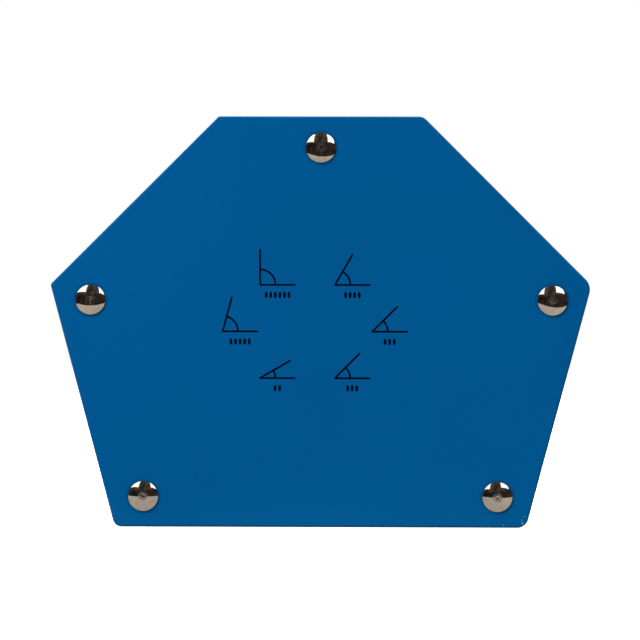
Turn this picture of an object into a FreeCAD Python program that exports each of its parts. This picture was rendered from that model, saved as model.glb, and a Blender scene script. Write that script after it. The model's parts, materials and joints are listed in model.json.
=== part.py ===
"""Multi-angle welding magnet: a riveted six-sided sandwich with ferrite magnets in its core.

Frame: millimetres. The holder stands on its long base edge. X runs along that edge, Y through the thickness
(the printed front face looks towards -Y) and Z is up. The origin is under the middle of the holder, on the
base plane. The outline has a horizontal base and top, two lower flanks at 75 degrees and two upper flanks at
45 degrees, so that pairs of its edges hold work at 30, 45, 60, 75 and 90 degrees.

From the front to the rear: cover, pole plate, core, pole plate, cover. The core holds a moulded carrier, five
stacks of two ferrite blocks and five spacer tubes, inside a bent rim band. Five semi-tubular rivets close it.
"""

import FreeCAD
import Part

import math
import os

from FreeCAD import Vector

# Outline, to its sharp corners
WIDTH = 155.0  # across the two side corners
HEIGHT = 117.6
SIDE_CORNER_HEIGHT = 69.4
LOWER_FLANK_ANGLE = 75.0  # degrees from the base
UPPER_FLANK_ANGLE = 45.0
CORNER_RADII = {
    "lower_left": 2.6,
    "lower_right": 3.2,
    "right": 4.2,
    "top_right": 3.0,
    "top_left": 0.9,
    "left": 1.2,
}

# Thickness of the layers
COVER_THICKNESS = 1.0
POLE_THICKNESS = 2.0
CORE_THICKNESS = 20.0

# Covers
COVER_INSET = 0.1  # the ground pole edges stand this far proud of the painted covers
COVER_EDGE_RADIUS = 0.4
NICK_X = 7.6  # middle of the shear nick in the front cover's base edge
NICK_WIDTH = 0.9
NICK_DEPTH = 0.25

# Pole plates
POLE_EDGE_BREAK = 0.15

# Rim band
BAND_INSET = 1.0
BAND_THICKNESS = 1.2
BAND_SEAM_X = -18.0
BAND_SEAM_GAP = 0.5
TIGHTEST_BEND = 0.8  # inside radius of the band's sharpest bends

# Rivets
RIVET_SHANK_RADIUS = 2.5
RIVET_HOLE_RADIUS = 2.6
RIVET_HEAD_RADIUS = 4.3
RIVET_HEAD_HEIGHT = 1.85
RIVET_HEAD_LAND = 0.15  # straight side under the dome
RIVET_BORE_RADIUS = 1.7
RIVET_BORE_DEPTH = 6.0  # measured from the rear cover
RIVET_BORE_CONE = 1.0
RIVET_ROLL_RADIUS = 1.1  # section of the rolled tail
RIVET_ROLL_CENTRE = 2.9  # radius at which the roll's section is centred
RIVET_ROLL_FLAT = 0.4  # height of the roll's section centre over the cover
LOWER_RIVET_PITCH = 101.3
LOWER_RIVET_HEIGHT = 8.8
SIDE_RIVET_PITCH = 132.2
SIDE_RIVET_OFFSET = 0.2  # the middle of the side pair lies this far right of the outline's
SIDE_RIVET_HEIGHT = 65.0
TOP_RIVET_DROP = 9.0  # below the top edge

# Spacer tubes
SPACER_OUTER_RADIUS = 4.0
SPACER_INNER_RADIUS = 2.65

# Ferrite blocks
MAGNET_WIDTH = 40.0
MAGNET_HEIGHT = 25.0
MAGNET_CHAMFER = 0.6
MAGNET_COLUMN = 24.0  # from the middle to each side stack
MAGNET_ROW_PITCH = 30.0
LOWEST_MAGNET_HEIGHT = 28.5

# Carrier
CARRIER_INSET = 2.6
CARRIER_DEPTH = 19.6
CARRIER_WALL = 1.8
CARRIER_WEB = 2.0
CARRIER_RIB = 1.6
POCKET_CLEARANCE = 0.15

# Worked out from the driving sizes
POLE_OUTER_Y = CORE_THICKNESS / 2 + POLE_THICKNESS
COVER_OUTER_Y = POLE_OUTER_Y + COVER_THICKNESS
MAGNET_THICKNESS = CORE_THICKNESS / 2
BASE_WIDTH = WIDTH - 2 * SIDE_CORNER_HEIGHT / math.tan(math.radians(LOWER_FLANK_ANGLE))
TOP_WIDTH = WIDTH - 2 * (HEIGHT - SIDE_CORNER_HEIGHT) / math.tan(math.radians(UPPER_FLANK_ANGLE))

RIVET_PLACES = {
    "top": (0.0, HEIGHT - TOP_RIVET_DROP),
    "left": (SIDE_RIVET_OFFSET - SIDE_RIVET_PITCH / 2, SIDE_RIVET_HEIGHT),
    "right": (SIDE_RIVET_OFFSET + SIDE_RIVET_PITCH / 2, SIDE_RIVET_HEIGHT),
    "lower_left": (-LOWER_RIVET_PITCH / 2, LOWER_RIVET_HEIGHT),
    "lower_right": (LOWER_RIVET_PITCH / 2, LOWER_RIVET_HEIGHT),
}

MAGNET_PLACES = {
    "lower_left": (-MAGNET_COLUMN, LOWEST_MAGNET_HEIGHT),
    "lower_right": (MAGNET_COLUMN, LOWEST_MAGNET_HEIGHT),
    "middle_left": (-MAGNET_COLUMN, LOWEST_MAGNET_HEIGHT + MAGNET_ROW_PITCH),
    "middle_right": (MAGNET_COLUMN, LOWEST_MAGNET_HEIGHT + MAGNET_ROW_PITCH),
    "top": (0.0, LOWEST_MAGNET_HEIGHT + 2 * MAGNET_ROW_PITCH),
}


def sharp_corners():
    """The outline's corners as (name, x, z), anticlockwise as seen from the front."""
    return [
        ("lower_left", -BASE_WIDTH / 2, 0.0),
        ("lower_right", BASE_WIDTH / 2, 0.0),
        ("right", WIDTH / 2, SIDE_CORNER_HEIGHT),
        ("top_right", TOP_WIDTH / 2, HEIGHT),
        ("top_left", -TOP_WIDTH / 2, HEIGHT),
        ("left", -WIDTH / 2, SIDE_CORNER_HEIGHT),
    ]


def direction(start, end):
    """Unit vector in the X-Z plane from one point to the next."""
    dx, dz = end[0] - start[0], end[1] - start[1]
    length = math.hypot(dx, dz)
    return dx / length, dz / length


def inset_corners(inset):
    """The sharp corners moved in, so that every edge lies `inset` inside the outline."""
    corners = sharp_corners()
    count = len(corners)
    moved = []
    for i, (name, x, z) in enumerate(corners):
        before = direction(corners[i - 1][1:], (x, z))
        after = direction((x, z), corners[(i + 1) % count][1:])
        turn = math.acos(before[0] * after[0] + before[1] * after[1])
        inward = (after[0] - before[0], after[1] - before[1])
        size = math.hypot(*inward)
        reach = inset / math.cos(turn / 2)
        moved.append((name, x + inward[0] / size * reach, z + inward[1] / size * reach))
    return moved


def outline_face(y, inset=0.0, least_radius=0.0):
    """The rounded outline as a face in the plane of that y."""
    corners = inset_corners(inset)
    count = len(corners)
    starts, mids, ends = [], [], []
    for i, (name, x, z) in enumerate(corners):
        before = direction(corners[i - 1][1:], (x, z))
        after = direction((x, z), corners[(i + 1) % count][1:])
        turn = math.acos(before[0] * after[0] + before[1] * after[1])
        radius = max(CORNER_RADII[name] - inset, least_radius)
        tangent = radius * math.tan(turn / 2)
        inward = (after[0] - before[0], after[1] - before[1])
        size = math.hypot(*inward)
        sagitta = radius / math.cos(turn / 2) - radius
        starts.append(Vector(x - before[0] * tangent, y, z - before[1] * tangent))
        mids.append(Vector(x + inward[0] / size * sagitta, y, z + inward[1] / size * sagitta))
        ends.append(Vector(x + after[0] * tangent, y, z + after[1] * tangent))
    edges = []
    for i in range(count):
        if (ends[i] - starts[i]).Length > 1e-6:
            edges.append(Part.Arc(starts[i], mids[i], ends[i]).toShape())
        edges.append(Part.LineSegment(ends[i], starts[(i + 1) % count]).toShape())
    return Part.Face(Part.Wire(edges))


def slab(y_low, y_high, inset=0.0, least_radius=0.0):
    """A prism of the outline between two y planes."""
    return outline_face(y_low, inset, least_radius).extrude(Vector(0, y_high - y_low, 0))


def box(x_low, x_high, y_low, y_high, z_low, z_high):
    """A plain block between two corners."""
    size = (x_high - x_low, y_high - y_low, z_high - z_low)
    return Part.makeBox(*size, Vector(x_low, y_low, z_low))


def cylinder(radius, y_low, y_high, x, z):
    """A round bar along Y."""
    return Part.makeCylinder(radius, y_high - y_low, Vector(x, y_low, z), Vector(0, 1, 0))


def edges_in_plane(shape, y):
    """The edges of a shape that lie in the plane of that y."""
    return [e for e in shape.Edges if all(abs(v.Y - y) < 1e-6 for v in e.Vertexes)]


def drilled(shape, radius):
    """The shape with a hole of that radius at each rivet."""
    for x, z in RIVET_PLACES.values():
        shape = shape.cut(cylinder(radius, -HEIGHT, HEIGHT, x, z))
    return shape


def front_cover():
    """Painted sheet with a rolled outer edge, rivet holes and a small shear nick in its base edge."""
    cover = slab(-COVER_OUTER_Y, -POLE_OUTER_Y, COVER_INSET)
    cover = cover.makeFillet(COVER_EDGE_RADIUS, edges_in_plane(cover, -COVER_OUTER_Y))
    nick_radius = (NICK_WIDTH**2 / 4 + NICK_DEPTH**2) / (2 * NICK_DEPTH)
    nick_height = COVER_INSET + NICK_DEPTH - nick_radius
    cover = cover.cut(cylinder(nick_radius, -COVER_OUTER_Y - 1, -POLE_OUTER_Y + 1, NICK_X, nick_height))
    return drilled(cover, RIVET_HOLE_RADIUS)


def rear_cover():
    """The same sheet on the rear, without the nick."""
    cover = slab(POLE_OUTER_Y, COVER_OUTER_Y, COVER_INSET)
    cover = cover.makeFillet(COVER_EDGE_RADIUS, edges_in_plane(cover, COVER_OUTER_Y))
    return drilled(cover, RIVET_HOLE_RADIUS)


def pole_plate(side):
    """Bare steel plate whose ground edges grip the work. Side is -1 for the front plate, 1 for the rear."""
    low, high = sorted((side * CORE_THICKNESS / 2, side * POLE_OUTER_Y))
    plate = slab(low, high)
    rims = edges_in_plane(plate, low) + edges_in_plane(plate, high)
    return drilled(plate.makeChamfer(POLE_EDGE_BREAK, rims), RIVET_HOLE_RADIUS)


def rim_band():
    """Aluminium strip bent round the core, with its butt seam in the base."""
    half = CORE_THICKNESS / 2
    outside = slab(-half, half, BAND_INSET, TIGHTEST_BEND + BAND_THICKNESS)
    inside = slab(-half - 1, half + 1, BAND_INSET + BAND_THICKNESS, TIGHTEST_BEND)
    seam_left = BAND_SEAM_X - BAND_SEAM_GAP / 2
    seam = box(seam_left, seam_left + BAND_SEAM_GAP, -half - 1, half + 1, 0, BAND_INSET + 2 * BAND_THICKNESS)
    return outside.cut(inside).cut(seam)


def magnet_pocket(x, z, margin):
    """A block round one magnet stack, through the core, `margin` larger than the magnets on each side."""
    half_width = MAGNET_WIDTH / 2 + margin
    half_height = MAGNET_HEIGHT / 2 + margin
    half_depth = CARRIER_DEPTH / 2
    return box(x - half_width, x + half_width, -half_depth, half_depth, z - half_height, z + half_height)


def magnet_carrier():
    """Moulded frame: outer wall, middle web, a walled pocket for each stack, spacer bosses and ribs."""
    half = CARRIER_DEPTH / 2
    envelope = slab(-half, half, CARRIER_INSET, TIGHTEST_BEND)
    wall = envelope.cut(slab(-half - 1, half + 1, CARRIER_INSET + CARRIER_WALL, TIGHTEST_BEND))
    web = slab(-CARRIER_WEB / 2, CARRIER_WEB / 2, CARRIER_INSET, TIGHTEST_BEND)
    pieces = [web]
    for x, z in MAGNET_PLACES.values():
        pieces.append(magnet_pocket(x, z, POCKET_CLEARANCE + CARRIER_WALL))
    for x, z in RIVET_PLACES.values():
        pieces.append(cylinder(SPACER_OUTER_RADIUS + POCKET_CLEARANCE + CARRIER_WALL, -half, half, x, z))
    for x in (-MAGNET_COLUMN, MAGNET_COLUMN):
        pieces.append(box(x - CARRIER_RIB / 2, x + CARRIER_RIB / 2, -half, half, 0, HEIGHT))
    for row in range(3):
        z = LOWEST_MAGNET_HEIGHT + row * MAGNET_ROW_PITCH
        pieces.append(box(-WIDTH, WIDTH, -half, half, z - CARRIER_RIB / 2, z + CARRIER_RIB / 2))
    carrier = wall.multiFuse(pieces).common(envelope)
    for x, z in MAGNET_PLACES.values():
        pocket = magnet_pocket(x, z, POCKET_CLEARANCE)
        carrier = carrier.cut(pocket)
    return drilled(carrier, SPACER_OUTER_RADIUS + POCKET_CLEARANCE).removeSplitter()


def magnet(x, z, side):
    """One pressed ferrite block. Side is -1 for the front layer and 1 for the rear one."""
    low, high = sorted((0.0, side * MAGNET_THICKNESS))
    half_width, half_height = MAGNET_WIDTH / 2, MAGNET_HEIGHT / 2
    block = box(x - half_width, x + half_width, low, high, z - half_height, z + half_height)
    along_y = [e for e in block.Edges if abs(e.Vertexes[0].Y - e.Vertexes[-1].Y) > 1]
    return block.makeChamfer(MAGNET_CHAMFER, along_y)


def spacer(x, z):
    """Tube that holds the pole plates apart round a rivet."""
    half = CORE_THICKNESS / 2
    tube = cylinder(SPACER_OUTER_RADIUS, -half, half, x, z)
    return tube.cut(cylinder(SPACER_INNER_RADIUS, -half - 1, half + 1, x, z))


def rivet(x, z):
    """Semi-tubular rivet: domed head in front, shank through the stack and tail rolled over at the rear."""
    head_y = -COVER_OUTER_Y
    dome_height = RIVET_HEAD_HEIGHT - RIVET_HEAD_LAND
    dome_radius = (RIVET_HEAD_RADIUS**2 + dome_height**2) / (2 * dome_height)
    half_slope = math.asin(RIVET_HEAD_RADIUS / dome_radius) / 2
    dome_mid = Vector(
        dome_radius * math.sin(half_slope),
        head_y - RIVET_HEAD_HEIGHT + dome_radius * (1 - math.cos(half_slope)),
        0,
    )
    roll_y = COVER_OUTER_Y + RIVET_ROLL_FLAT
    roll_top = Vector(RIVET_ROLL_CENTRE, roll_y + RIVET_ROLL_RADIUS, 0)
    roll_outer = Vector(RIVET_ROLL_CENTRE + RIVET_ROLL_RADIUS, roll_y, 0)
    roll_inner = Vector(RIVET_BORE_RADIUS, roll_y, 0)
    bore_end_y = COVER_OUTER_Y - RIVET_BORE_DEPTH

    def on_roll(angle, radius):
        turn = math.radians(angle)
        reach = RIVET_ROLL_CENTRE + radius * math.cos(turn)
        return Vector(reach, roll_y + RIVET_ROLL_RADIUS * math.sin(turn), 0)

    points = [
        Vector(0, head_y - RIVET_HEAD_HEIGHT, 0),
        Vector(RIVET_HEAD_RADIUS, head_y - RIVET_HEAD_LAND, 0),
        Vector(RIVET_HEAD_RADIUS, head_y, 0),
        Vector(RIVET_SHANK_RADIUS, head_y, 0),
        Vector(RIVET_SHANK_RADIUS, COVER_OUTER_Y, 0),
        Vector(roll_outer.x, COVER_OUTER_Y, 0),
        roll_outer,
    ]
    edges = [Part.Arc(points[0], dome_mid, points[1]).toShape()]
    edges += [Part.LineSegment(a, b).toShape() for a, b in zip(points[1:], points[2:])]
    edges.append(Part.Arc(roll_outer, on_roll(45, RIVET_ROLL_RADIUS), roll_top).toShape())
    inner_reach = RIVET_ROLL_CENTRE - RIVET_BORE_RADIUS
    inner_curve = Part.BSplineCurve()
    inner_curve.interpolate([roll_top, on_roll(135, inner_reach), roll_inner])
    edges.append(inner_curve.toShape())
    bore_points = [
        roll_inner,
        Vector(RIVET_BORE_RADIUS, bore_end_y, 0),
        Vector(0, bore_end_y - RIVET_BORE_CONE, 0),
        points[0],
    ]
    edges += [Part.LineSegment(a, b).toShape() for a, b in zip(bore_points, bore_points[1:])]
    section = Part.Face(Part.Wire(edges))
    body = section.revolve(Vector(0, 0, 0), Vector(0, 1, 0), 360)
    body.translate(Vector(x, 0, z))
    return body


def save(name, shape):
    """Checks that the shape is closed and valid, then writes it as a STEP file."""
    solids = shape.Solids
    sound = shape.isValid() and solids and all(s.Volume > 0 for s in solids)
    if not sound:
        raise RuntimeError(f"{name} is not a sound solid")
    whole = solids[0] if len(solids) == 1 else Part.makeCompound(solids)
    whole.exportStep(os.path.join("parts", f"{name}.step"))


def main():
    os.makedirs("parts", exist_ok=True)
    save("front_cover", front_cover())
    save("rear_cover", rear_cover())
    save("front_pole_plate", pole_plate(-1))
    save("rear_pole_plate", pole_plate(1))
    save("rim_band", rim_band())
    save("magnet_carrier", magnet_carrier())
    for place, (x, z) in MAGNET_PLACES.items():
        save(f"magnet_{place}_front", magnet(x, z, -1))
        save(f"magnet_{place}_rear", magnet(x, z, 1))
    for place, (x, z) in RIVET_PLACES.items():
        save(f"spacer_{place}", spacer(x, z))
        save(f"rivet_{place}", rivet(x, z))


main()
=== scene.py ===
"""Looks of the welding magnet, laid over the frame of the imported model.

Lengths are in metres in the model's frame: X runs along the base edge, -Y points out of the printed face and
Z is up. The painted covers and the rivets are rebuilt as finer meshes, generic angle marks are printed on the
front cover, and the other nodes keep their shape and get a material each.
"""

import json
import math
import random

import bmesh
import bpy
from mathutils import Matrix, Vector, noise
from mathutils.geometry import delaunay_2d_cdt


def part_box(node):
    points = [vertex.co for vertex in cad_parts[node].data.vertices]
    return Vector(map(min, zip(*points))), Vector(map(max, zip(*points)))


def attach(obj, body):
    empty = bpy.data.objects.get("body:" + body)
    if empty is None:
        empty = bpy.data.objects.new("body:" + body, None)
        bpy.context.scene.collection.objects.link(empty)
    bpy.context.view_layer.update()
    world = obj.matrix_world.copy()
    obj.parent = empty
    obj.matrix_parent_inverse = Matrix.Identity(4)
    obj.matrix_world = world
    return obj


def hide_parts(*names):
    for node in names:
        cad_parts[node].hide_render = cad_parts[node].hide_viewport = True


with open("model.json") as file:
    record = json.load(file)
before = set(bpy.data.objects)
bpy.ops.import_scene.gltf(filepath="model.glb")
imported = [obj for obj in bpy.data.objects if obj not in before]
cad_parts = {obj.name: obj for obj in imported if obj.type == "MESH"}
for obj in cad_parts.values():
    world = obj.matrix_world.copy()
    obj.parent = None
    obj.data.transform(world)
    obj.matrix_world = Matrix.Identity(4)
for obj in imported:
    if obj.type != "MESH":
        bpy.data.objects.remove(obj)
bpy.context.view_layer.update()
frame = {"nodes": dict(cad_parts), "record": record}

MM = 0.001

# Outline of the covers, the same driving sizes as the model's
WIDTH = 155.0 * MM
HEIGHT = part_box("front_pole_plate")[1].z
SIDE_CORNER_HEIGHT = 69.4 * MM
LOWER_FLANK = math.radians(75)
UPPER_FLANK = math.radians(45)
CORNER_RADII = [2.6 * MM, 3.2 * MM, 4.2 * MM, 3.0 * MM, 0.9 * MM, 1.2 * MM]
COVER_INSET = 0.1 * MM
LEAST_RADIUS = 0.05 * MM

# Finer shape of the covers
ROLLED_EDGE = 0.45 * MM
EDGE_STEP = 2.5 * MM
ARC_POINTS = 9
NICK_X = 7.6 * MM
NICK_WIDTH = 0.9 * MM
NICK_DEPTH = 0.3 * MM
DRAWN_DEPTH = 0.07 * MM  # how far each rivet draws the sheet in
DRAWN_REACH = 3.2 * MM  # beyond the head
WAVE_DEPTH = 0.05 * MM
WAVE_LENGTH = 45 * MM
GRID_STEP = 3.2 * MM

KNOCKS = [  # chips in the front cover's paint: x, z and radius
    (57.85 * MM, 1.35 * MM, 0.22 * MM),
    (57.6 * MM, 2.3 * MM, 0.12 * MM),
    (58.5 * MM, 3.3 * MM, 0.11 * MM),
    (52.4 * MM, 0.75 * MM, 0.12 * MM),
]

# Rivets
RIVET_NAMES = ["top", "left", "right", "lower_left", "lower_right"]
RIVET_SEED = 11
LATHE_STEPS = 96
DENT_COUNT = 12
DENT_STEP = 0.09 * MM  # between the rows near the middle of a head
DENT_ROWS = 17
DOME_ROWS = 16  # from there to the rim
DENTED_ROWS = 20
SPLIT_COUNT = 6
HEAD_LAND = 0.15 * MM
SHANK_RADIUS = 2.5 * MM
HOLE_RADIUS = 2.6 * MM
ROLL_CENTRE = 2.9 * MM
ROLL_RADIUS = 1.1 * MM
ROLL_START = -10  # degrees round the roll's section
ROLL_SWEEP = 190
ROLL_STEPS = 12
BORE_RADIUS = 1.7 * MM
BORE_DEPTH = 6.0 * MM

# Print
INK_THICKNESS = 0.018 * MM
LINE_WIDTH = 0.53 * MM
RING_CENTRE = Vector((-1.6 * MM, 56.0 * MM))  # of the ring that the marks stand on
RING_HALF_WIDTH = 21.4 * MM
RING_HALF_HEIGHT = 15.4 * MM
RAY_LENGTH = 10.0 * MM
ARC_RADIUS = 4.4 * MM
ARC_STEPS = 14
TICK_WIDTH = 0.77 * MM
TICK_HEIGHT = 1.0 * MM  # between the middles of its round ends
TICK_PITCH = 1.3 * MM
TICK_DROP = 2.4 * MM  # from the level ray to the top of the ticks
TICK_DEGREES = 15

# Each mark: its bearing on the ring and the angle that it shows, in degrees
MARKS = {
    "upper_left": (120, 90),
    "upper_right": (60, 60),
    "left": (180, 75),
    "right": (0, 45),
    "lower_left": (240, 30),
    "lower_right": (300, 45),
}

# Stage and light: radiances as the holder sees them
ROOM_DARK = 0.025  # the room in the mirror-like parts, level with the holder
ROOM_OVERHEAD = 0.07
ROOM_BRIGHT = 0.7  # behind the holder
ROOM_TINT = (1.0, 0.8, 0.72, 1.0)
FILL_BELOW = 0.15  # the even fill on the matt parts
FILL_ABOVE = 0.58
FLOOR_REACH = 3
FLOOR_Z = -0.05 * MM
TABLE_Z = -0.2 * MM
TABLE_HALF_WIDTH = 0.3
TABLE_BACK = 0.7
TABLE_FRONT = (-0.116, 0.035, 0.09)  # the front edge: y in the middle, slope and bow
TABLE_STEPS = 8

# Each softbox and lamp: lower corner, lower edge, lean and radiance
SOFTBOXES = {
    "softbox_left": ((-0.84, -0.015, 0.43), (0.6, -0.26, -0.12), (0.06, 0.225, 0.255), 1.3),
    "softbox_right": ((0.165, -0.2, 0.258), (0.35, 0.075, 0.035), (0.025, 0.15, 0.35), 1.3),
    "softbox_rear": ((0.4, 0.5, 0.25), (-0.8, 0, 0), (0, -0.25, 0.45), 0.95),
}
LAMPS = {
    "key_light": ((-1.95, -1.35, 1.65), (1.35, -0.75, 0), (0.375, 0.675, 0.9), 15.6),
    "left_light": ((-0.65, -0.28, 0.01), (0.1, -0.17, 0), (0, 0, 0.2), 6.8),
    "rear_light": ((1.3, 0.9, 1.1), (-0.9, 0.5, 0), (-0.25, -0.45, 0.6), 13.0),
}

# Camera
CAMERA_PLACE = (0.0141, -0.9, 0.0593)
CAMERA_TURN = (90, -0.135, 0.92)  # degrees
CAMERA_LENS = 174.5
CAMERA_SENSOR = 36


# ---------------------------------------------------------------- outline


def sharp_corners():
    """The outline's corners as (x, z), anticlockwise as seen from the front, from the lower left one."""
    base = WIDTH / 2 - SIDE_CORNER_HEIGHT / math.tan(LOWER_FLANK)
    top = WIDTH / 2 - (HEIGHT - SIDE_CORNER_HEIGHT) / math.tan(UPPER_FLANK)
    return [
        Vector((-base, 0)),
        Vector((base, 0)),
        Vector((WIDTH / 2, SIDE_CORNER_HEIGHT)),
        Vector((top, HEIGHT)),
        Vector((-top, HEIGHT)),
        Vector((-WIDTH / 2, SIDE_CORNER_HEIGHT)),
    ]


CORNERS = sharp_corners()
EDGE_DIRECTIONS = [(CORNERS[(i + 1) % 6] - CORNERS[i]).normalized() for i in range(6)]
INWARD_NORMALS = [Vector((-d.y, d.x)) for d in EDGE_DIRECTIONS]


def edge_distance(x, z):
    """How far inside the sharp outline a point lies."""
    return min((Vector((x, z)) - c).dot(n) for c, n in zip(CORNERS, INWARD_NORMALS))


def corner_arc(i, inset):
    """Points round one corner of the outline moved in by `inset`."""
    before, after = EDGE_DIRECTIONS[i - 1], EDGE_DIRECTIONS[i]
    turn = math.acos(before.dot(after))
    inward = (after - before).normalized()
    radius = max(CORNER_RADII[i] - inset, LEAST_RADIUS)
    centre = CORNERS[i] + inward * (inset + radius) / math.cos(turn / 2)
    start = math.atan2(-before.x, before.y)
    angles = [start + turn * k / (ARC_POINTS - 1) for k in range(ARC_POINTS)]
    return [centre + radius * Vector((math.cos(a), math.sin(a))) for a in angles]


def straight_shares(i):
    """Where points lie along a straight edge, from 0 to 1. The base edge has extra ones for the nick."""
    length = (CORNERS[(i + 1) % 6] - CORNERS[i]).length
    count = round(length / EDGE_STEP)
    shares = [k / count for k in range(1, count)]
    if i == 0:
        left, right = corner_arc(0, COVER_INSET)[-1].x, corner_arc(1, COVER_INSET)[0].x
        nick = [NICK_X + NICK_WIDTH * k / 8 for k in range(-5, 6)]
        shares += [(x - left) / (right - left) for x in nick]
    return sorted(shares)


SHARES = [straight_shares(i) for i in range(6)]


def outline_ring(inset):
    """The rounded outline moved in by `inset`. Every inset gives the same number of points."""
    arcs = [corner_arc(i, inset) for i in range(6)]
    ring = []
    for i in range(6):
        start, end = arcs[i][-1], arcs[(i + 1) % 6][0]
        ring += arcs[i] + [start.lerp(end, share) for share in SHARES[i]]
    return ring


def smooth(t):
    """Eases from 0 to 1 as t does, and holds the ends."""
    t = min(max(t, 0.0), 1.0)
    return t * t * (3 - 2 * t)


# ---------------------------------------------------------------- rivets' places, from the frame

class RivetPlace:
    """Where one rivet sits and how large its head and tail are."""

    def __init__(self, name):
        low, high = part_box("rivet_" + name)
        self.x = (low.x + high.x) / 2
        self.z = (low.z + high.z) / 2
        self.head_radius = (high.x - low.x) / 2
        self.head_top = low.y
        self.tail_top = high.y


RIVETS = {name: RivetPlace(name) for name in RIVET_NAMES}
FRONT_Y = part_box("front_cover")[0].y
REAR_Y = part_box("rear_cover")[1].y
POLE_FACE_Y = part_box("rear_pole_plate")[1].y


def rivet_distance(x, z):
    """How far a point is from the axis of the nearest rivet."""
    return min(math.hypot(x - r.x, z - r.z) for r in RIVETS.values())


def sheet_relief(x, z):
    """How far the cover's face lies below its plane: drawn in round the rivets, slightly wavy elsewhere."""
    head = RIVETS["top"].head_radius
    drawn = DRAWN_DEPTH * (1 - smooth((rivet_distance(x, z) - head * 0.7) / DRAWN_REACH))
    wave = 0.5 + 0.5 * noise.noise(Vector((x, 0.3, z)) / WAVE_LENGTH)
    return drawn + WAVE_DEPTH * wave * smooth(edge_distance(x, z) / (8 * MM))


# ---------------------------------------------------------------- meshes

def finish_piece(name, mesh_data, material, sharp_angle=40):
    """Makes an object of a bmesh, with smooth faces between sharp edges, and lets it ride on the frame."""
    bmesh.ops.recalc_face_normals(mesh_data, faces=mesh_data.faces)
    mesh = bpy.data.meshes.new(name)
    mesh_data.to_mesh(mesh)
    mesh_data.free()
    mesh.shade_smooth()
    mesh.set_sharp_from_angle(angle=math.radians(sharp_angle))
    piece = bpy.data.objects.new(name, mesh)
    bpy.context.scene.collection.objects.link(piece)
    mesh.materials.append(material)
    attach(piece, "root")
    return piece


def bridge(bm, first, second):
    """Quads between two closed rows of vertices."""
    count = len(first)
    for k in range(count):
        n = (k + 1) % count
        bm.faces.new((first[k], first[n], second[n], second[k]))


def circle(place, radius, count=48):
    """Points on a circle round a rivet's axis."""
    angles = [2 * math.pi * k / count for k in range(count)]
    return [Vector((place.x + radius * math.cos(a), place.z + radius * math.sin(a))) for a in angles]


def face_points():
    """Points that carry the relief of a cover's face: rings round the rivets and a staggered grid."""
    head = RIVETS["top"].head_radius
    rings = [HOLE_RADIUS + 0.5 * MM, head * 0.8, head, head + 0.3 * MM, head + 0.8 * MM, head + 1.6 * MM]
    points = [p for place in RIVETS.values() for radius in rings for p in circle(place, radius)]
    rows = int(HEIGHT / GRID_STEP)
    columns = int(WIDTH / GRID_STEP)
    for row in range(rows + 1):
        for column in range(columns + 1):
            x = -WIDTH / 2 + (column + row % 2 / 2) * GRID_STEP
            z = row * GRID_STEP
            if edge_distance(x, z) > 2.6 * MM and rivet_distance(x, z) > rings[-1] + 1.0 * MM:
                points.append(Vector((x, z)))
    return points


def add_patch(bm, outer, holes, free_points, height):
    """Fills between an outer loop and round holes with triangles. height gives y for each (x, z)."""
    loops = [outer, *holes]
    points = [p for loop in loops for p in loop] + free_points
    edges, first = [], 0
    for loop in loops:
        edges += [(first + k, first + (k + 1) % len(loop)) for k in range(len(loop))]
        first += len(loop)
    flat, _, triangles, *_ = delaunay_2d_cdt(points, edges, [], 1, 1e-9)
    vertices = [bm.verts.new((p.x, height(p.x, p.y), p.y)) for p in flat]
    for triangle in triangles:
        middle = sum((flat[k] for k in triangle), Vector((0, 0))) / len(triangle)
        if rivet_distance(middle.x, middle.y) > HOLE_RADIUS * 0.999:
            bm.faces.new([vertices[k] for k in triangle])


def nicked(point, inset):
    """Moves a point of the base edge up into the nick that the shear left."""
    across = 1 - ((point.x - NICK_X) / (NICK_WIDTH / 2)) ** 2
    if point.y > SIDE_CORNER_HEIGHT / 2 or across <= 0:
        return point
    return point + Vector((0, NICK_DEPTH * across * (1 - smooth(inset / (0.9 * MM)))))


def store_distances(mesh):
    """Keeps each vertex's distance from the outline and the nearest rivet, in millimetres, for the paint."""
    rim = mesh.attributes.new("rim_mm", "FLOAT", "POINT")
    rivet = mesh.attributes.new("rivet_mm", "FLOAT", "POINT")
    for k, vertex in enumerate(mesh.vertices):
        rim.data[k].value = edge_distance(vertex.co.x, vertex.co.z) / MM
        rivet.data[k].value = rivet_distance(vertex.co.x, vertex.co.z) / MM


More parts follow.
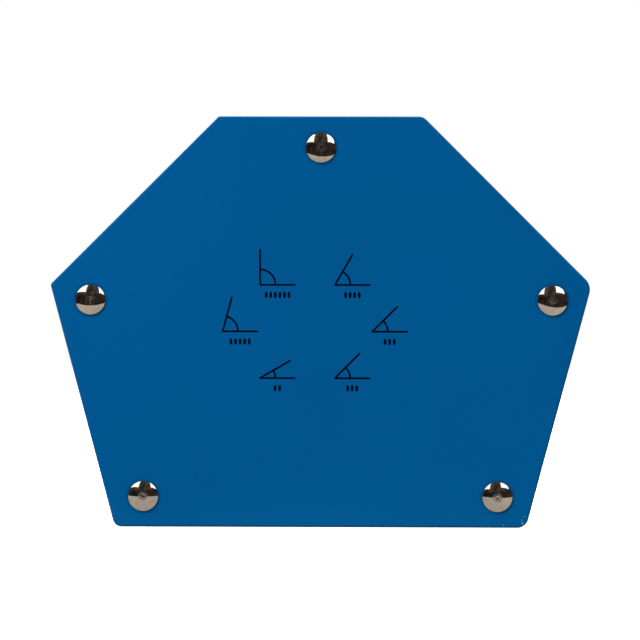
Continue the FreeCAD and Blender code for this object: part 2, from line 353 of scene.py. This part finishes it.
def cover_sheet(name, node, outer_y, inner_y, material, has_nick):
    """A painted cover: rolled outer edge, rivet holes, the sheet drawn in round the rivets."""
    inward = math.copysign(1, inner_y - outer_y)
    profile = [(COVER_INSET, inner_y)]
    for k in range(7):
        angle = math.pi / 2 * k / 6
        inset = COVER_INSET + ROLLED_EDGE * (1 - math.cos(angle))
        profile.append((inset, outer_y + inward * ROLLED_EDGE * (1 - math.sin(angle))))
    profile += [(inset + 0.35 * MM, outer_y), (inset + 0.9 * MM, outer_y)]

    def face_height(x, z):
        return outer_y + inward * sheet_relief(x, z)

    bm = bmesh.new()
    rows, loops = [], []
    for depth, y in profile:
        ring = outline_ring(depth)
        if has_nick:
            ring = [nicked(p, depth - COVER_INSET) for p in ring]
        at_face = abs(y - outer_y) < 1e-9
        rows.append([bm.verts.new((p.x, face_height(p.x, p.y) if at_face else y, p.y)) for p in ring])
        loops.append(ring)
    for first, second in zip(rows, rows[1:]):
        bridge(bm, first, second)
    holes = [circle(place, HOLE_RADIUS) for place in RIVETS.values()]
    add_patch(bm, loops[-1], holes, face_points(), face_height)
    add_patch(bm, loops[0], holes, [], lambda x, z: inner_y)
    for hole in holes:
        outside = [bm.verts.new((p.x, face_height(p.x, p.y), p.y)) for p in hole]
        inside = [bm.verts.new((p.x, inner_y, p.y)) for p in hole]
        bridge(bm, outside, inside)
    bmesh.ops.remove_doubles(bm, verts=bm.verts, dist=1e-7)
    piece = finish_piece(name, bm, material)
    store_distances(piece.data)
    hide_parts(node)
    return piece


# ---------------------------------------------------------------- rivets

def head_profile(place):
    """The dome as (radius, y) from its middle to the cover, in closer steps near the middle for dents."""
    rise = FRONT_Y - place.head_top - HEAD_LAND
    sphere = (place.head_radius**2 + rise**2) / (2 * rise)
    radii = [DENT_STEP * k for k in range(1, DENT_ROWS + 1)]
    left = place.head_radius - 0.05 * MM - radii[-1]
    radii += [radii[-1] + left * k / DOME_ROWS for k in range(1, DOME_ROWS + 1)]
    dome = [(r, place.head_top + sphere - math.sqrt(sphere**2 - r**2)) for r in radii]
    rim = [
        (place.head_radius - 0.015 * MM, FRONT_Y - HEAD_LAND - 0.01 * MM),
        (place.head_radius, FRONT_Y - HEAD_LAND + 0.03 * MM),
        (place.head_radius - 0.02 * MM, FRONT_Y + 0.01 * MM),
        (SHANK_RADIUS, FRONT_Y + 0.03 * MM),
    ]
    return dome + rim


def tail_profile(place):
    """The shank, the rolled tail and its bore as (radius, y), from the front to the bottom of the bore."""
    roll_y = place.tail_top - ROLL_RADIUS
    points = [(SHANK_RADIUS, REAR_Y - 0.02 * MM), (ROLL_CENTRE + ROLL_RADIUS - 0.1 * MM, REAR_Y)]
    for k in range(ROLL_STEPS + 1):
        angle = math.radians(ROLL_START + ROLL_SWEEP * k / ROLL_STEPS)
        reach = ROLL_RADIUS if angle < math.pi / 2 else ROLL_CENTRE - BORE_RADIUS
        points.append((ROLL_CENTRE + reach * math.cos(angle), roll_y + ROLL_RADIUS * math.sin(angle)))
    bottom = REAR_Y - BORE_DEPTH
    points += [(BORE_RADIUS, bottom), (BORE_RADIUS * 0.5, bottom - 0.5 * MM)]
    return points


def dent_pattern(rng):
    """The marks that the setting tool left in the middle of a head, as (x, z, radius, depth)."""
    dents = []
    for _ in range(DENT_COUNT):
        angle, reach = rng.uniform(0, 2 * math.pi), rng.uniform(0, 1.25) * MM
        size, depth = rng.uniform(0.18, 0.42) * MM, rng.uniform(0.02, 0.07) * MM
        dents.append((reach * math.cos(angle), reach * math.sin(angle), size, depth))
    return dents


def set_rivet(name, material):
    """One rivet as it is after setting: dented dome, shank and a rolled tail that has begun to split."""
    place = RIVETS[name]
    rng = random.Random(RIVET_NAMES.index(name) + RIVET_SEED)
    dents = dent_pattern(rng)
    splits = [(rng.uniform(0, 2 * math.pi), rng.uniform(0.05, 0.16) * MM) for _ in range(SPLIT_COUNT)]

    def dented(dx, dz, y):
        for x, z, size, depth in dents:
            y += depth * math.exp(-((dx - x) ** 2 + (dz - z) ** 2) / size**2)
        return y

    def split(angle, radius, y):
        across = smooth(1 - abs(radius - ROLL_CENTRE) / (1.3 * MM))
        for direction, depth in splits:
            apart = math.remainder(angle - direction, 2 * math.pi) * radius
            y -= depth * across * math.exp(-((apart / (0.12 * MM)) ** 2))
        return y

    bm = bmesh.new()
    centre = bm.verts.new((place.x, dented(0, 0, place.head_top), place.z))
    rows = []
    head, tail = head_profile(place), tail_profile(place)
    for k, (radius, y) in enumerate(head + tail):
        row = []
        for step in range(LATHE_STEPS):
            angle = 2 * math.pi * step / LATHE_STEPS
            dx, dz = radius * math.cos(angle), radius * math.sin(angle)
            if k < DENTED_ROWS:
                height = dented(dx, dz, y)
            else:
                height = split(angle, radius, y) if y > REAR_Y else y
            row.append(bm.verts.new((place.x + dx, height, place.z + dz)))
        rows.append(row)
    for first, second in zip(rows, rows[1:]):
        bridge(bm, first, second)
    end = bm.verts.new((place.x, tail[-1][1] - 0.3 * MM, place.z))
    for step in range(LATHE_STEPS):
        after = (step + 1) % LATHE_STEPS
        bm.faces.new((centre, rows[0][after], rows[0][step]))
        bm.faces.new((end, rows[-1][step], rows[-1][after]))
    piece = finish_piece("set_rivet_" + name, bm, material, 55)
    distance = piece.data.attributes.new("axis_mm", "FLOAT", "POINT")
    for k, vertex in enumerate(piece.data.vertices):
        distance.data[k].value = math.hypot(vertex.co.x - place.x, vertex.co.z - place.z) / MM
    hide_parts("rivet_" + name)
    return piece


# ---------------------------------------------------------------- print

def arc(centre, radius, sweep):
    """Points anticlockwise along a circle, from its right-hand side through `sweep` degrees."""
    angles = [math.radians(sweep * k / ARC_STEPS) for k in range(ARC_STEPS + 1)]
    return [(centre.x + radius * math.cos(a), centre.y + radius * math.sin(a)) for a in angles]


def capsule(start, end, width, count=5):
    """The outline of a straight stroke with round ends."""
    along = end - start
    heading = math.atan2(along.y, along.x)
    points = []
    for middle, turn in ((end, -math.pi / 2), (start, math.pi / 2)):
        for k in range(count + 1):
            angle = heading + turn + math.pi * k / count
            points.append(middle + width / 2 * Vector((math.cos(angle), math.sin(angle))))
    return points


def stroke_capsules(points, width):
    """A bent stroke as one capsule for each straight part."""
    return [capsule(Vector(a), Vector(b), width) for a, b in zip(points, points[1:])]


def angle_symbol(marked):
    """Strokes of a plain angle symbol: a level ray, a ray raised by the marked angle and an arc."""
    corner = Vector((-RAY_LENGTH / 2, 0))
    turn = math.radians(marked)
    raised = corner + RAY_LENGTH * Vector((math.cos(turn), math.sin(turn)))
    level = corner + Vector((RAY_LENGTH, 0))
    return [[raised, corner, level], arc(corner, ARC_RADIUS, marked)]


def tally(marked):
    """A row of ticks below the symbol, one for every fifteen degrees."""
    count = marked // TICK_DEGREES
    columns = [(k - (count - 1) / 2) * TICK_PITCH for k in range(count)]
    return [[(x, -TICK_DROP), (x, -TICK_DROP - TICK_HEIGHT)] for x in columns]


def print_mark(name, bearing, marked, material):
    """One angle mark in ink: a plain symbol with a tally below. It holds no lettering."""
    turn = math.radians(bearing)
    along_ring = Vector((RING_HALF_WIDTH * math.cos(turn), RING_HALF_HEIGHT * math.sin(turn)))
    middle = RING_CENTRE + along_ring
    capsules = [shape for stroke in angle_symbol(marked) for shape in stroke_capsules(stroke, LINE_WIDTH)]
    capsules += [shape for tick in tally(marked) for shape in stroke_capsules(tick, TICK_WIDTH)]
    points = [p + middle for shape in capsules for p in shape]
    size = len(capsules[0])
    shapes = [list(range(first, first + size)) for first in range(0, len(points), size)]
    flat, _, faces, _, _, sources = delaunay_2d_cdt(points, [], shapes, 0, 1e-9)
    bm = bmesh.new()
    vertices = [bm.verts.new((p.x, FRONT_Y + sheet_relief(p.x, p.y) + 0.01 * MM, p.y)) for p in flat]
    covered = [face for face, source in zip(faces, sources) if source]
    drawn = [bm.faces.new([vertices[k] for k in face]) for face in covered]
    raised = bmesh.ops.extrude_face_region(bm, geom=drawn)["geom"]
    for item in raised:
        if isinstance(item, bmesh.types.BMVert):
            item.co.y -= INK_THICKNESS + 0.01 * MM
    loose = [v for v in bm.verts if not v.link_faces]
    bmesh.ops.delete(bm, geom=loose, context="VERTS")
    return finish_piece("print_" + name, bm, material, 30)


# ---------------------------------------------------------------- materials

class Surface:
    """A material's node tree, built by short calls that each return an output socket."""

    def __init__(self, name, **constants):
        self.material = bpy.data.materials.new(name)
        self.material.use_nodes = True
        self.tree = self.material.node_tree
        self.shader = self.tree.nodes["Principled BSDF"]
        self.place = self.node("ShaderNodeTexCoord").outputs["Object"]
        for socket, value in constants.items():
            self.shader.inputs[socket.replace("_", " ")].default_value = value

    def node(self, kind, inputs=(), **settings):
        made = self.tree.nodes.new(kind)
        for key, value in settings.items():
            setattr(made, key, value)
        for key, value in dict(inputs).items():
            if isinstance(value, bpy.types.NodeSocket):
                self.tree.links.new(value, made.inputs[key])
            else:
                made.inputs[key].default_value = value
        return made

    def drive(self, socket, value):
        self.tree.links.new(value, self.shader.inputs[socket])

    def attribute(self, name):
        return self.node("ShaderNodeAttribute", attribute_name=name).outputs["Fac"]

    def distance_from(self, x, y, z):
        points = {0: self.place, 1: (x, y, z)}
        return self.node("ShaderNodeVectorMath", points, operation="DISTANCE").outputs["Value"]

    def moved(self, stretch, offset):
        """The place, squeezed by `stretch` along each axis and moved by `offset` so that patterns differ."""
        shift = {"Vector": self.place, "Scale": stretch, "Location": (offset, offset * 0.7, -offset)}
        return self.node("ShaderNodeMapping", shift).outputs["Vector"]

    def noise(self, size, detail=2.0, roughness=0.5, stretch=(1, 1, 1), offset=0.0):
        """Soft noise whose patches are about `size` across."""
        inputs = {
            "Vector": self.moved(stretch, offset),
            "Scale": 1 / size,
            "Detail": detail,
            "Roughness": roughness,
        }
        return self.node("ShaderNodeTexNoise", inputs).outputs["Fac"]

    def specks(self, spacing, radius, offset=0.0):
        """Small round specks about `spacing` apart: 1 in the middle of each, 0 beyond `radius`."""
        inputs = {"Vector": self.moved((1, 1, 1), offset), "Scale": 1 / spacing}
        distance = self.node("ShaderNodeTexVoronoi", inputs).outputs["Distance"]
        return self.ramp(distance, radius / spacing, 0.0)

    def ramp(self, value, low, high, start=0.0, end=1.0):
        """Maps low..high to start..end, and holds the ends."""
        inputs = {"Value": value, "From Min": low, "From Max": high, "To Min": start, "To Max": end}
        return self.node("ShaderNodeMapRange", inputs).outputs["Result"]

    def maths(self, operation, first, second=0.0):
        return self.node("ShaderNodeMath", {0: first, 1: second}, operation=operation).outputs[0]

    def times(self, first, second):
        return self.maths("MULTIPLY", first, second)

    def plus(self, first, second):
        return self.maths("ADD", first, second)

    def blend(self, share, first, second):
        """Mixes two colours."""
        made = self.node("ShaderNodeMix", data_type="RGBA")
        self.tree.links.new(share, made.inputs["Factor"])
        colours = [s for s in made.inputs if s.type == "RGBA"]
        for socket, value in zip(colours, (first, second)):
            if isinstance(value, bpy.types.NodeSocket):
                self.tree.links.new(value, socket)
            else:
                socket.default_value = (*value, 1.0)
        return next(s for s in made.outputs if s.type == "RGBA")

    def bump(self, height, depth, under=None):
        """A bump of `depth` metres where height goes from 0 to 1."""
        inputs = {"Height": height, "Distance": depth, "Strength": 1.0}
        if under is not None:
            inputs["Normal"] = under
        return self.node("ShaderNodeBump", inputs).outputs["Normal"]


def paint_material():
    """Blue powder coat: colour drift, orange peel, dust nibs, hairline scratches, chips on the rim and
    painted shade round the rivets.
    """
    s = Surface("blue_paint", Specular_IOR_Level=0.22, Specular_Tint=(0.1, 0.85, 1.0, 1.0))
    rim, rivet = s.attribute("rim_mm"), s.attribute("rivet_mm")
    drift = s.ramp(s.noise(60 * MM, 3), 0.35, 0.65, 0.0, 0.55)
    mottle = s.ramp(s.noise(0.5 * MM, 2, 0.6, offset=9.9), 0.3, 0.7, 0.0, 0.45)
    colour = s.blend(s.plus(drift, mottle), (0.0005, 0.0868, 0.2610), (0.0008, 0.0995, 0.2965))
    # Painted shade: a patchy dark ring on the paint just outside each rivet head, standing in for the head's
    # shadow and the dark crease at its edge.
    rivet_ring_shade = s.times(s.ramp(rivet, 5.3, 4.3), s.ramp(s.noise(1.2 * MM, 4), 0.3, 0.7, 0.2, 0.7))
    colour = s.blend(rivet_ring_shade, colour, (0.001, 0.030, 0.085))
    hairline = s.ramp(s.noise(0.5 * MM, 1, stretch=(0.02, 1, 1), offset=3.1), 0.72, 0.80)
    crossing = s.ramp(s.noise(0.5 * MM, 1, stretch=(1, 1, 0.02), offset=7.7), 0.74, 0.82)
    worn = s.ramp(s.noise(22 * MM, 2, offset=1.7), 0.5, 0.65)
    scratches = s.times(s.maths("MAXIMUM", hairline, crossing), worn)
    colour = s.blend(s.times(scratches, 0.25), colour, (0.02, 0.17, 0.38))
    ragged = s.noise(0.35 * MM, 3, 0.7, offset=5.3)
    chips = s.times(s.ramp(rim, 0.45, 0.1), s.ramp(s.noise(1.1 * MM, 3, 0.6, offset=5.3), 0.70, 0.74))
    for x, z, radius in KNOCKS:
        spot = s.plus(s.distance_from(x, FRONT_Y, z), s.times(ragged, radius))
        chips = s.maths("MAXIMUM", chips, s.ramp(spot, radius * 1.6, radius * 1.2))
    colour = s.blend(chips, colour, (0.22, 0.52, 0.62))
    peel = s.noise(0.9 * MM, 1.5, offset=2.2)
    nibs = s.specks(9 * MM, 0.16 * MM, offset=4.4)
    normal = s.bump(peel, 0.010 * MM)
    normal = s.bump(nibs, 0.02 * MM, normal)
    normal = s.bump(s.plus(scratches, chips), -0.006 * MM, normal)
    rough = s.ramp(s.noise(14 * MM, 4, 0.6, offset=6.1), 0.3, 0.7, 0.15, 0.19)
    rough = s.plus(rough, s.times(s.plus(scratches, chips), 0.15))
    s.drive("Base Color", colour)
    s.drive("Roughness", rough)
    s.drive("Normal", normal)
    return s.material


def ink_material():
    """Screen-printed black ink: slightly uneven, with a few pinholes."""
    s = Surface("black_ink", Specular_IOR_Level=0.1)
    patchy = s.ramp(s.noise(0.5 * MM, 3), 0.35, 0.7)
    colour = s.blend(patchy, (0.0003, 0.0016, 0.006), (0.0006, 0.0034, 0.012))
    pinholes = s.specks(0.9 * MM, 0.05 * MM, offset=2.0)
    colour = s.blend(pinholes, colour, (0.001, 0.06, 0.18))
    s.drive("Base Color", colour)
    s.drive("Roughness", s.ramp(s.noise(0.8 * MM, 2, offset=1.0), 0.3, 0.7, 0.28, 0.38))
    s.drive("Normal", s.bump(s.noise(0.15 * MM, 2), 0.003 * MM))
    return s.material


def nickel_material():
    """Bright nickel plate: haze, fine scratches, faint tarnish, and dull where the setting tool pressed."""
    s = Surface("nickel_plate", Metallic=1.0)
    axis = s.attribute("axis_mm")
    tarnish = s.ramp(s.noise(1.6 * MM, 4, 0.6), 0.5, 0.75)
    colour = s.blend(tarnish, (0.70, 0.67, 0.62), (0.58, 0.54, 0.47))
    tool = s.times(s.ramp(axis, 1.7, 1.0), s.ramp(s.noise(0.9 * MM, 3, 0.6, offset=3.0), 0.38, 0.55))
    colour = s.blend(s.times(tool, 0.5), colour, (0.42, 0.38, 0.33))
    hair = s.ramp(s.noise(0.12 * MM, 2, stretch=(1, 1, 0.06), offset=1.0), 0.60, 0.72)
    rough = s.ramp(s.noise(0.9 * MM, 3, offset=8.0), 0.3, 0.7, 0.05, 0.10)
    rough = s.plus(rough, s.plus(s.times(tool, 0.48), s.times(hair, 0.06)))
    s.drive("Base Color", colour)
    s.drive("Roughness", rough)
    normal = s.bump(s.noise(0.8 * MM, 2, offset=5.0), 0.003 * MM)
    s.drive("Normal", s.bump(hair, -0.0006 * MM, normal))
    return s.material


def ground_steel_material():
    """Bare steel plate: grinding lines, a bloom of rust, oily stains and paint lapped over its rim."""
    s = Surface("ground_steel", Metallic=1.0)
    lines = s.noise(0.25 * MM, 4, 0.7, stretch=(1, 0.04, 1))
    coarse = s.noise(1.4 * MM, 3, 0.6, stretch=(1, 0.15, 1), offset=2.0)
    colour = s.blend(s.ramp(lines, 0.3, 0.7), (0.40, 0.395, 0.385), (0.60, 0.595, 0.58))
    stain = s.ramp(s.noise(7 * MM, 4, 0.6, offset=4.0), 0.45, 0.75)
    colour = s.blend(s.times(stain, 0.5), colour, (0.27, 0.255, 0.235))
    rust = s.times(s.ramp(s.noise(1.8 * MM, 5, 0.7, offset=9.0), 0.62, 0.74), 0.7)
    colour = s.blend(rust, colour, (0.16, 0.075, 0.03))
    depth = s.maths("ABSOLUTE", s.node("ShaderNodeSeparateXYZ", {0: s.place}).outputs["Y"])
    ragged = s.times(s.noise(1.6 * MM, 2, 0.5, offset=12.0), 0.05 * MM)
    lap = s.ramp(s.plus(depth, ragged), POLE_FACE_Y - 0.16 * MM, POLE_FACE_Y - 0.08 * MM)
    colour = s.blend(lap, colour, (0.0006, 0.020, 0.060))
    rough = s.plus(s.ramp(coarse, 0.3, 0.7, 0.28, 0.44), s.times(rust, 0.35))
    bare = s.times(s.ramp(rust, 0.0, 0.7, 1.0, 0.35), s.ramp(lap, 0.0, 1.0, 1.0, 0.0))
    s.drive("Base Color", colour)
    s.drive("Roughness", rough)
    s.drive("Metallic", bare)
    normal = s.bump(lines, 0.006 * MM)
    s.drive("Normal", s.bump(coarse, 0.01 * MM, normal))
    return s.material


def band_material():
    """Rolled aluminium strip: mill lines along the strip, smudges and shallow knocks."""
    s = Surface("rolled_aluminium", Metallic=1.0)
    mill = s.noise(0.18 * MM, 4, 0.65, stretch=(0.03, 1, 0.03))
    colour = s.blend(s.ramp(mill, 0.3, 0.7), (0.62, 0.63, 0.64), (0.80, 0.81, 0.82))
    smudge = s.ramp(s.noise(19 * MM, 3, 0.5, offset=3.0), 0.45, 0.75)
    colour = s.blend(s.times(smudge, 0.2), colour, (0.55, 0.55, 0.56))
    rough = s.plus(s.ramp(mill, 0.3, 0.7, 0.26, 0.34), s.times(smudge, 0.08))
    knocks = s.specks(7 * MM, 0.35 * MM, offset=6.0)
    s.drive("Base Color", colour)
    s.drive("Roughness", rough)
    normal = s.bump(mill, 0.004 * MM)
    s.drive("Normal", s.bump(knocks, -0.03 * MM, normal))
    return s.material


def spacer_material():
    """Turned aluminium tube: rings left by the tool along its length."""
    s = Surface("turned_aluminium", Metallic=1.0)
    rings = s.noise(0.16 * MM, 2, stretch=(0.02, 1, 0.02))
    colour = s.blend(s.ramp(rings, 0.3, 0.7), (0.58, 0.59, 0.60), (0.76, 0.77, 0.78))
    s.drive("Base Color", colour)
    s.drive("Roughness", s.ramp(s.noise(2 * MM, 3, offset=1.0), 0.3, 0.7, 0.25, 0.40))
    s.drive("Normal", s.bump(rings, 0.008 * MM))
    return s.material


def ferrite_material():
    """Pressed and ground ferrite: dark grey, grinding lines on its faces, crumbly chips and dust."""
    s = Surface("ferrite", Specular_IOR_Level=0.4)
    grain = s.noise(0.3 * MM, 5, 0.7)
    lines = s.noise(0.22 * MM, 3, 0.6, stretch=(0.05, 1, 1), offset=2.0)
    colour = s.blend(s.ramp(grain, 0.3, 0.7), (0.028, 0.028, 0.030), (0.058, 0.058, 0.062))
    dust = s.ramp(s.noise(6 * MM, 4, 0.65, offset=5.0), 0.5, 0.8)
    colour = s.blend(s.times(dust, 0.4), colour, (0.11, 0.105, 0.10))
    chips = s.ramp(s.noise(1.6 * MM, 4, 0.7, offset=7.0), 0.66, 0.72)
    s.drive("Base Color", colour)
    s.drive("Roughness", s.ramp(grain, 0.3, 0.7, 0.50, 0.72))
    normal = s.bump(lines, 0.01 * MM)
    s.drive("Normal", s.bump(chips, -0.08 * MM, normal))
    return s.material


def carrier_material():
    """Moulded black plastic: fine spark texture, faint flow marks and a few scuffs."""
    s = Surface("moulded_plastic", Specular_IOR_Level=0.45)
    spark = s.noise(0.22 * MM, 3, 0.6)
    flow = s.ramp(s.noise(16 * MM, 3, 0.6, stretch=(1, 1, 0.4), offset=2.0), 0.35, 0.7)
    colour = s.blend(flow, (0.012, 0.012, 0.013), (0.024, 0.024, 0.025))
    scuffs = s.ramp(s.noise(1.0 * MM, 3, 0.6, stretch=(0.1, 1, 1), offset=4.0), 0.64, 0.74)
    colour = s.blend(s.times(scuffs, 0.5), colour, (0.09, 0.09, 0.09))
    s.drive("Base Color", colour)
    s.drive("Roughness", s.ramp(flow, 0.0, 1.0, 0.42, 0.58))
    s.drive("Normal", s.bump(spark, 0.012 * MM))
    return s.material


NODE_MATERIALS = {
    "pole_steel": ground_steel_material,
    "band_aluminium": band_material,
    "spacer_aluminium": spacer_material,
    "ferrite": ferrite_material,
    "carrier_plastic": carrier_material,
}


def dress_nodes(nodes, subparts):
    """Gives every node that keeps its own shape the material of its slot."""
    made = {slot: build() for slot, build in NODE_MATERIALS.items()}
    for subpart in subparts:
        material = made.get(subpart["material_slot"])
        if material:
            for slot in nodes[subpart["node"]].material_slots:
                slot.material = material


# ---------------------------------------------------------------- stage, light and camera

def stage_material(name, colour, emission):
    """Pale matt board with a very faint mottle; it glows a little so that it stays near white."""
    s = Surface(name, Roughness=0.9, Specular_IOR_Level=0.1, Emission_Strength=emission)
    s.shader.inputs["Emission Color"].default_value = (*colour, 1.0)
    lighter = tuple(min(1.0, c * 1.03) for c in colour)
    s.drive("Base Color", s.blend(s.noise(0.12, 3), colour, lighter))
    return s.material


def board(name, corners, material):
    """A flat board of the stage, through corners in one plane."""
    mesh = bpy.data.meshes.new(name)
    mesh.from_pydata(corners, [], [range(len(corners))])
    mesh.materials.append(material)
    piece = bpy.data.objects.new(name, mesh)
    bpy.context.scene.collection.objects.link(piece)
    return piece


def glowing_board(name, corner, along, up, radiance):
    """A softbox seen only in shiny surfaces: its lower edge runs `along` from `corner`, leaning by `up`."""
    corner, along, up = Vector(corner), Vector(along), Vector(up)
    material = stage_material(name, (1.0, 0.97, 0.93), radiance)
    piece = board(name, [corner, corner + along, corner + along + up, corner + up], material)
    piece.visible_camera = False
    piece.visible_diffuse = False
    piece.visible_shadow = False


def lamp_panel(name, corner, along, up, radiance):
    """A rectangular light that only lights the matt surfaces, placed like a glowing board."""
    along, up = Vector(along), Vector(up)
    up = up - along * (up.dot(along) / along.length_squared)
    light = bpy.data.lights.new(name, "AREA")
    light.shape = "RECTANGLE"
    light.size, light.size_y = along.length, up.length
    light.energy = radiance * math.pi * along.length * up.length
    lamp = bpy.data.objects.new(name, light)
    x_axis, y_axis = along.normalized(), up.normalized()
    z_axis = x_axis.cross(y_axis)
    matrix = Matrix((x_axis, y_axis, z_axis)).transposed().to_4x4()
    matrix.translation = Vector(corner) + along / 2 + up / 2
    lamp.matrix_world = matrix
    lamp.visible_camera = False
    lamp.visible_glossy = False
    bpy.context.scene.collection.objects.link(lamp)


def studio_world():
    """White for the camera, a dark room for the mirror-like parts and an even fill for the matt ones."""
    world = bpy.data.worlds.new("studio")
    bpy.context.scene.world = world
    world.use_nodes = True
    nodes, links = world.node_tree.nodes, world.node_tree.links
    nodes.clear()
    output = nodes.new("ShaderNodeOutputWorld")
    path = nodes.new("ShaderNodeLightPath")
    direction = nodes.new("ShaderNodeTexCoord").outputs["Generated"]
    split = nodes.new("ShaderNodeSeparateXYZ")
    links.new(direction, split.inputs[0])

    def background(strength, colour=(1, 1, 1, 1)):
        made = nodes.new("ShaderNodeBackground")
        made.inputs["Color"].default_value = colour
        if isinstance(strength, bpy.types.NodeSocket):
            links.new(strength, made.inputs["Strength"])
        else:
            made.inputs["Strength"].default_value = strength
        return made.outputs[0]

    def fade(value, low, high, start, end):
        made = nodes.new("ShaderNodeMapRange")
        links.new(value, made.inputs["Value"])
        for key, number in (("From Min", low), ("From Max", high), ("To Min", start), ("To Max", end)):
            made.inputs[key].default_value = number
        return made.outputs["Result"]

    def maths(operation, first, second):
        made = nodes.new("ShaderNodeMath")
        made.operation = operation
        links.new(first, made.inputs[0])
        links.new(second, made.inputs[1])
        return made.outputs[0]

    def choose(share, first, second):
        made = nodes.new("ShaderNodeMixShader")
        links.new(share, made.inputs[0])
        links.new(first, made.inputs[1])
        links.new(second, made.inputs[2])
        return made.outputs[0]

    clutter = nodes.new("ShaderNodeTexNoise")
    links.new(direction, clutter.inputs["Vector"])
    clutter.inputs["Scale"].default_value = 3.0
    patches = fade(clutter.outputs["Fac"], 0.35, 0.65, 0.3, 1.7)
    overhead = fade(split.outputs["Z"], 0.3, 0.8, ROOM_DARK, ROOM_OVERHEAD)
    behind = fade(split.outputs["Y"], 0.12, 0.45, 0.0, ROOM_BRIGHT)
    room = background(maths("ADD", maths("MULTIPLY", patches, overhead), behind), ROOM_TINT)
    evenness = fade(split.outputs["Z"], -0.3, 0.3, FILL_BELOW, FILL_ABOVE)
    ahead = fade(split.outputs["Y"], -0.97, -0.85, 0.0, 1.0)
    fill = background(maths("MULTIPLY", evenness, ahead))
    seen = choose(path.outputs["Is Diffuse Ray"], room, fill)
    links.new(choose(path.outputs["Is Camera Ray"], seen, background(1.0)), output.inputs["Surface"])


def flat_board(name, outline, height, material):
    """A level board of the stage, given its outline seen from above."""
    return board(name, [(x, y, height) for x, y in outline], material)


def table_edge():
    """The table card's front edge, which slants and bows the way the domes reflect it."""
    middle, slope, bow = TABLE_FRONT
    shares = [k / TABLE_STEPS for k in range(-TABLE_STEPS, TABLE_STEPS + 1)]
    return [(TABLE_HALF_WIDTH * u, middle + slope * u + bow * u**2) for u in shares]


def build_stage():
    """A white floor for the camera, a grey table for the reflections, softboxes, lamps and the world."""
    white = stage_material("floor_white", (0.86, 0.86, 0.86), 0.8)
    reach = FLOOR_REACH
    square = [(-reach, -reach), (reach, -reach), (reach, reach), (-reach, reach)]
    floor = flat_board("floor", square, FLOOR_Z, white)
    floor.visible_glossy = False
    floor.visible_diffuse = False
    grey = stage_material("table_grey", (0.44, 0.385, 0.325), 0.68)
    back = [(TABLE_HALF_WIDTH, TABLE_BACK), (-TABLE_HALF_WIDTH, TABLE_BACK)]
    table = flat_board("table_card", table_edge() + back, TABLE_Z, grey)
    table.visible_camera = False
    table.visible_diffuse = False
    table.visible_shadow = False
    for name, placing in SOFTBOXES.items():
        glowing_board(name, *placing)
    for name, placing in LAMPS.items():
        lamp_panel(name, *placing)
    studio_world()


def build_camera():
    """A long lens square to the printed face, as far off as a table-top product shot."""
    data = bpy.data.cameras.new("camera")
    data.lens = CAMERA_LENS
    data.sensor_width = CAMERA_SENSOR
    data.clip_start, data.clip_end = 0.05, 50
    camera = bpy.data.objects.new("camera", data)
    camera.location = CAMERA_PLACE
    camera.rotation_euler = [math.radians(angle) for angle in CAMERA_TURN]
    bpy.context.scene.collection.objects.link(camera)
    bpy.context.scene.camera = camera


# ---------------------------------------------------------------- build

paint = paint_material()
inner_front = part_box("front_cover")[1].y
inner_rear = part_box("rear_cover")[0].y
cover_sheet("front_cover_sheet", "front_cover", FRONT_Y, inner_front, paint, True)
cover_sheet("rear_cover_sheet", "rear_cover", REAR_Y, inner_rear, paint, False)
nickel = nickel_material()
for rivet_name in RIVET_NAMES:
    set_rivet(rivet_name, nickel)
ink = ink_material()
for mark_name, (bearing, marked) in MARKS.items():
    print_mark(mark_name, bearing, marked, ink)
dress_nodes(frame["nodes"], frame["record"]["subparts"])
build_stage()
build_camera()
bpy.context.scene.view_settings.view_transform = "Standard"
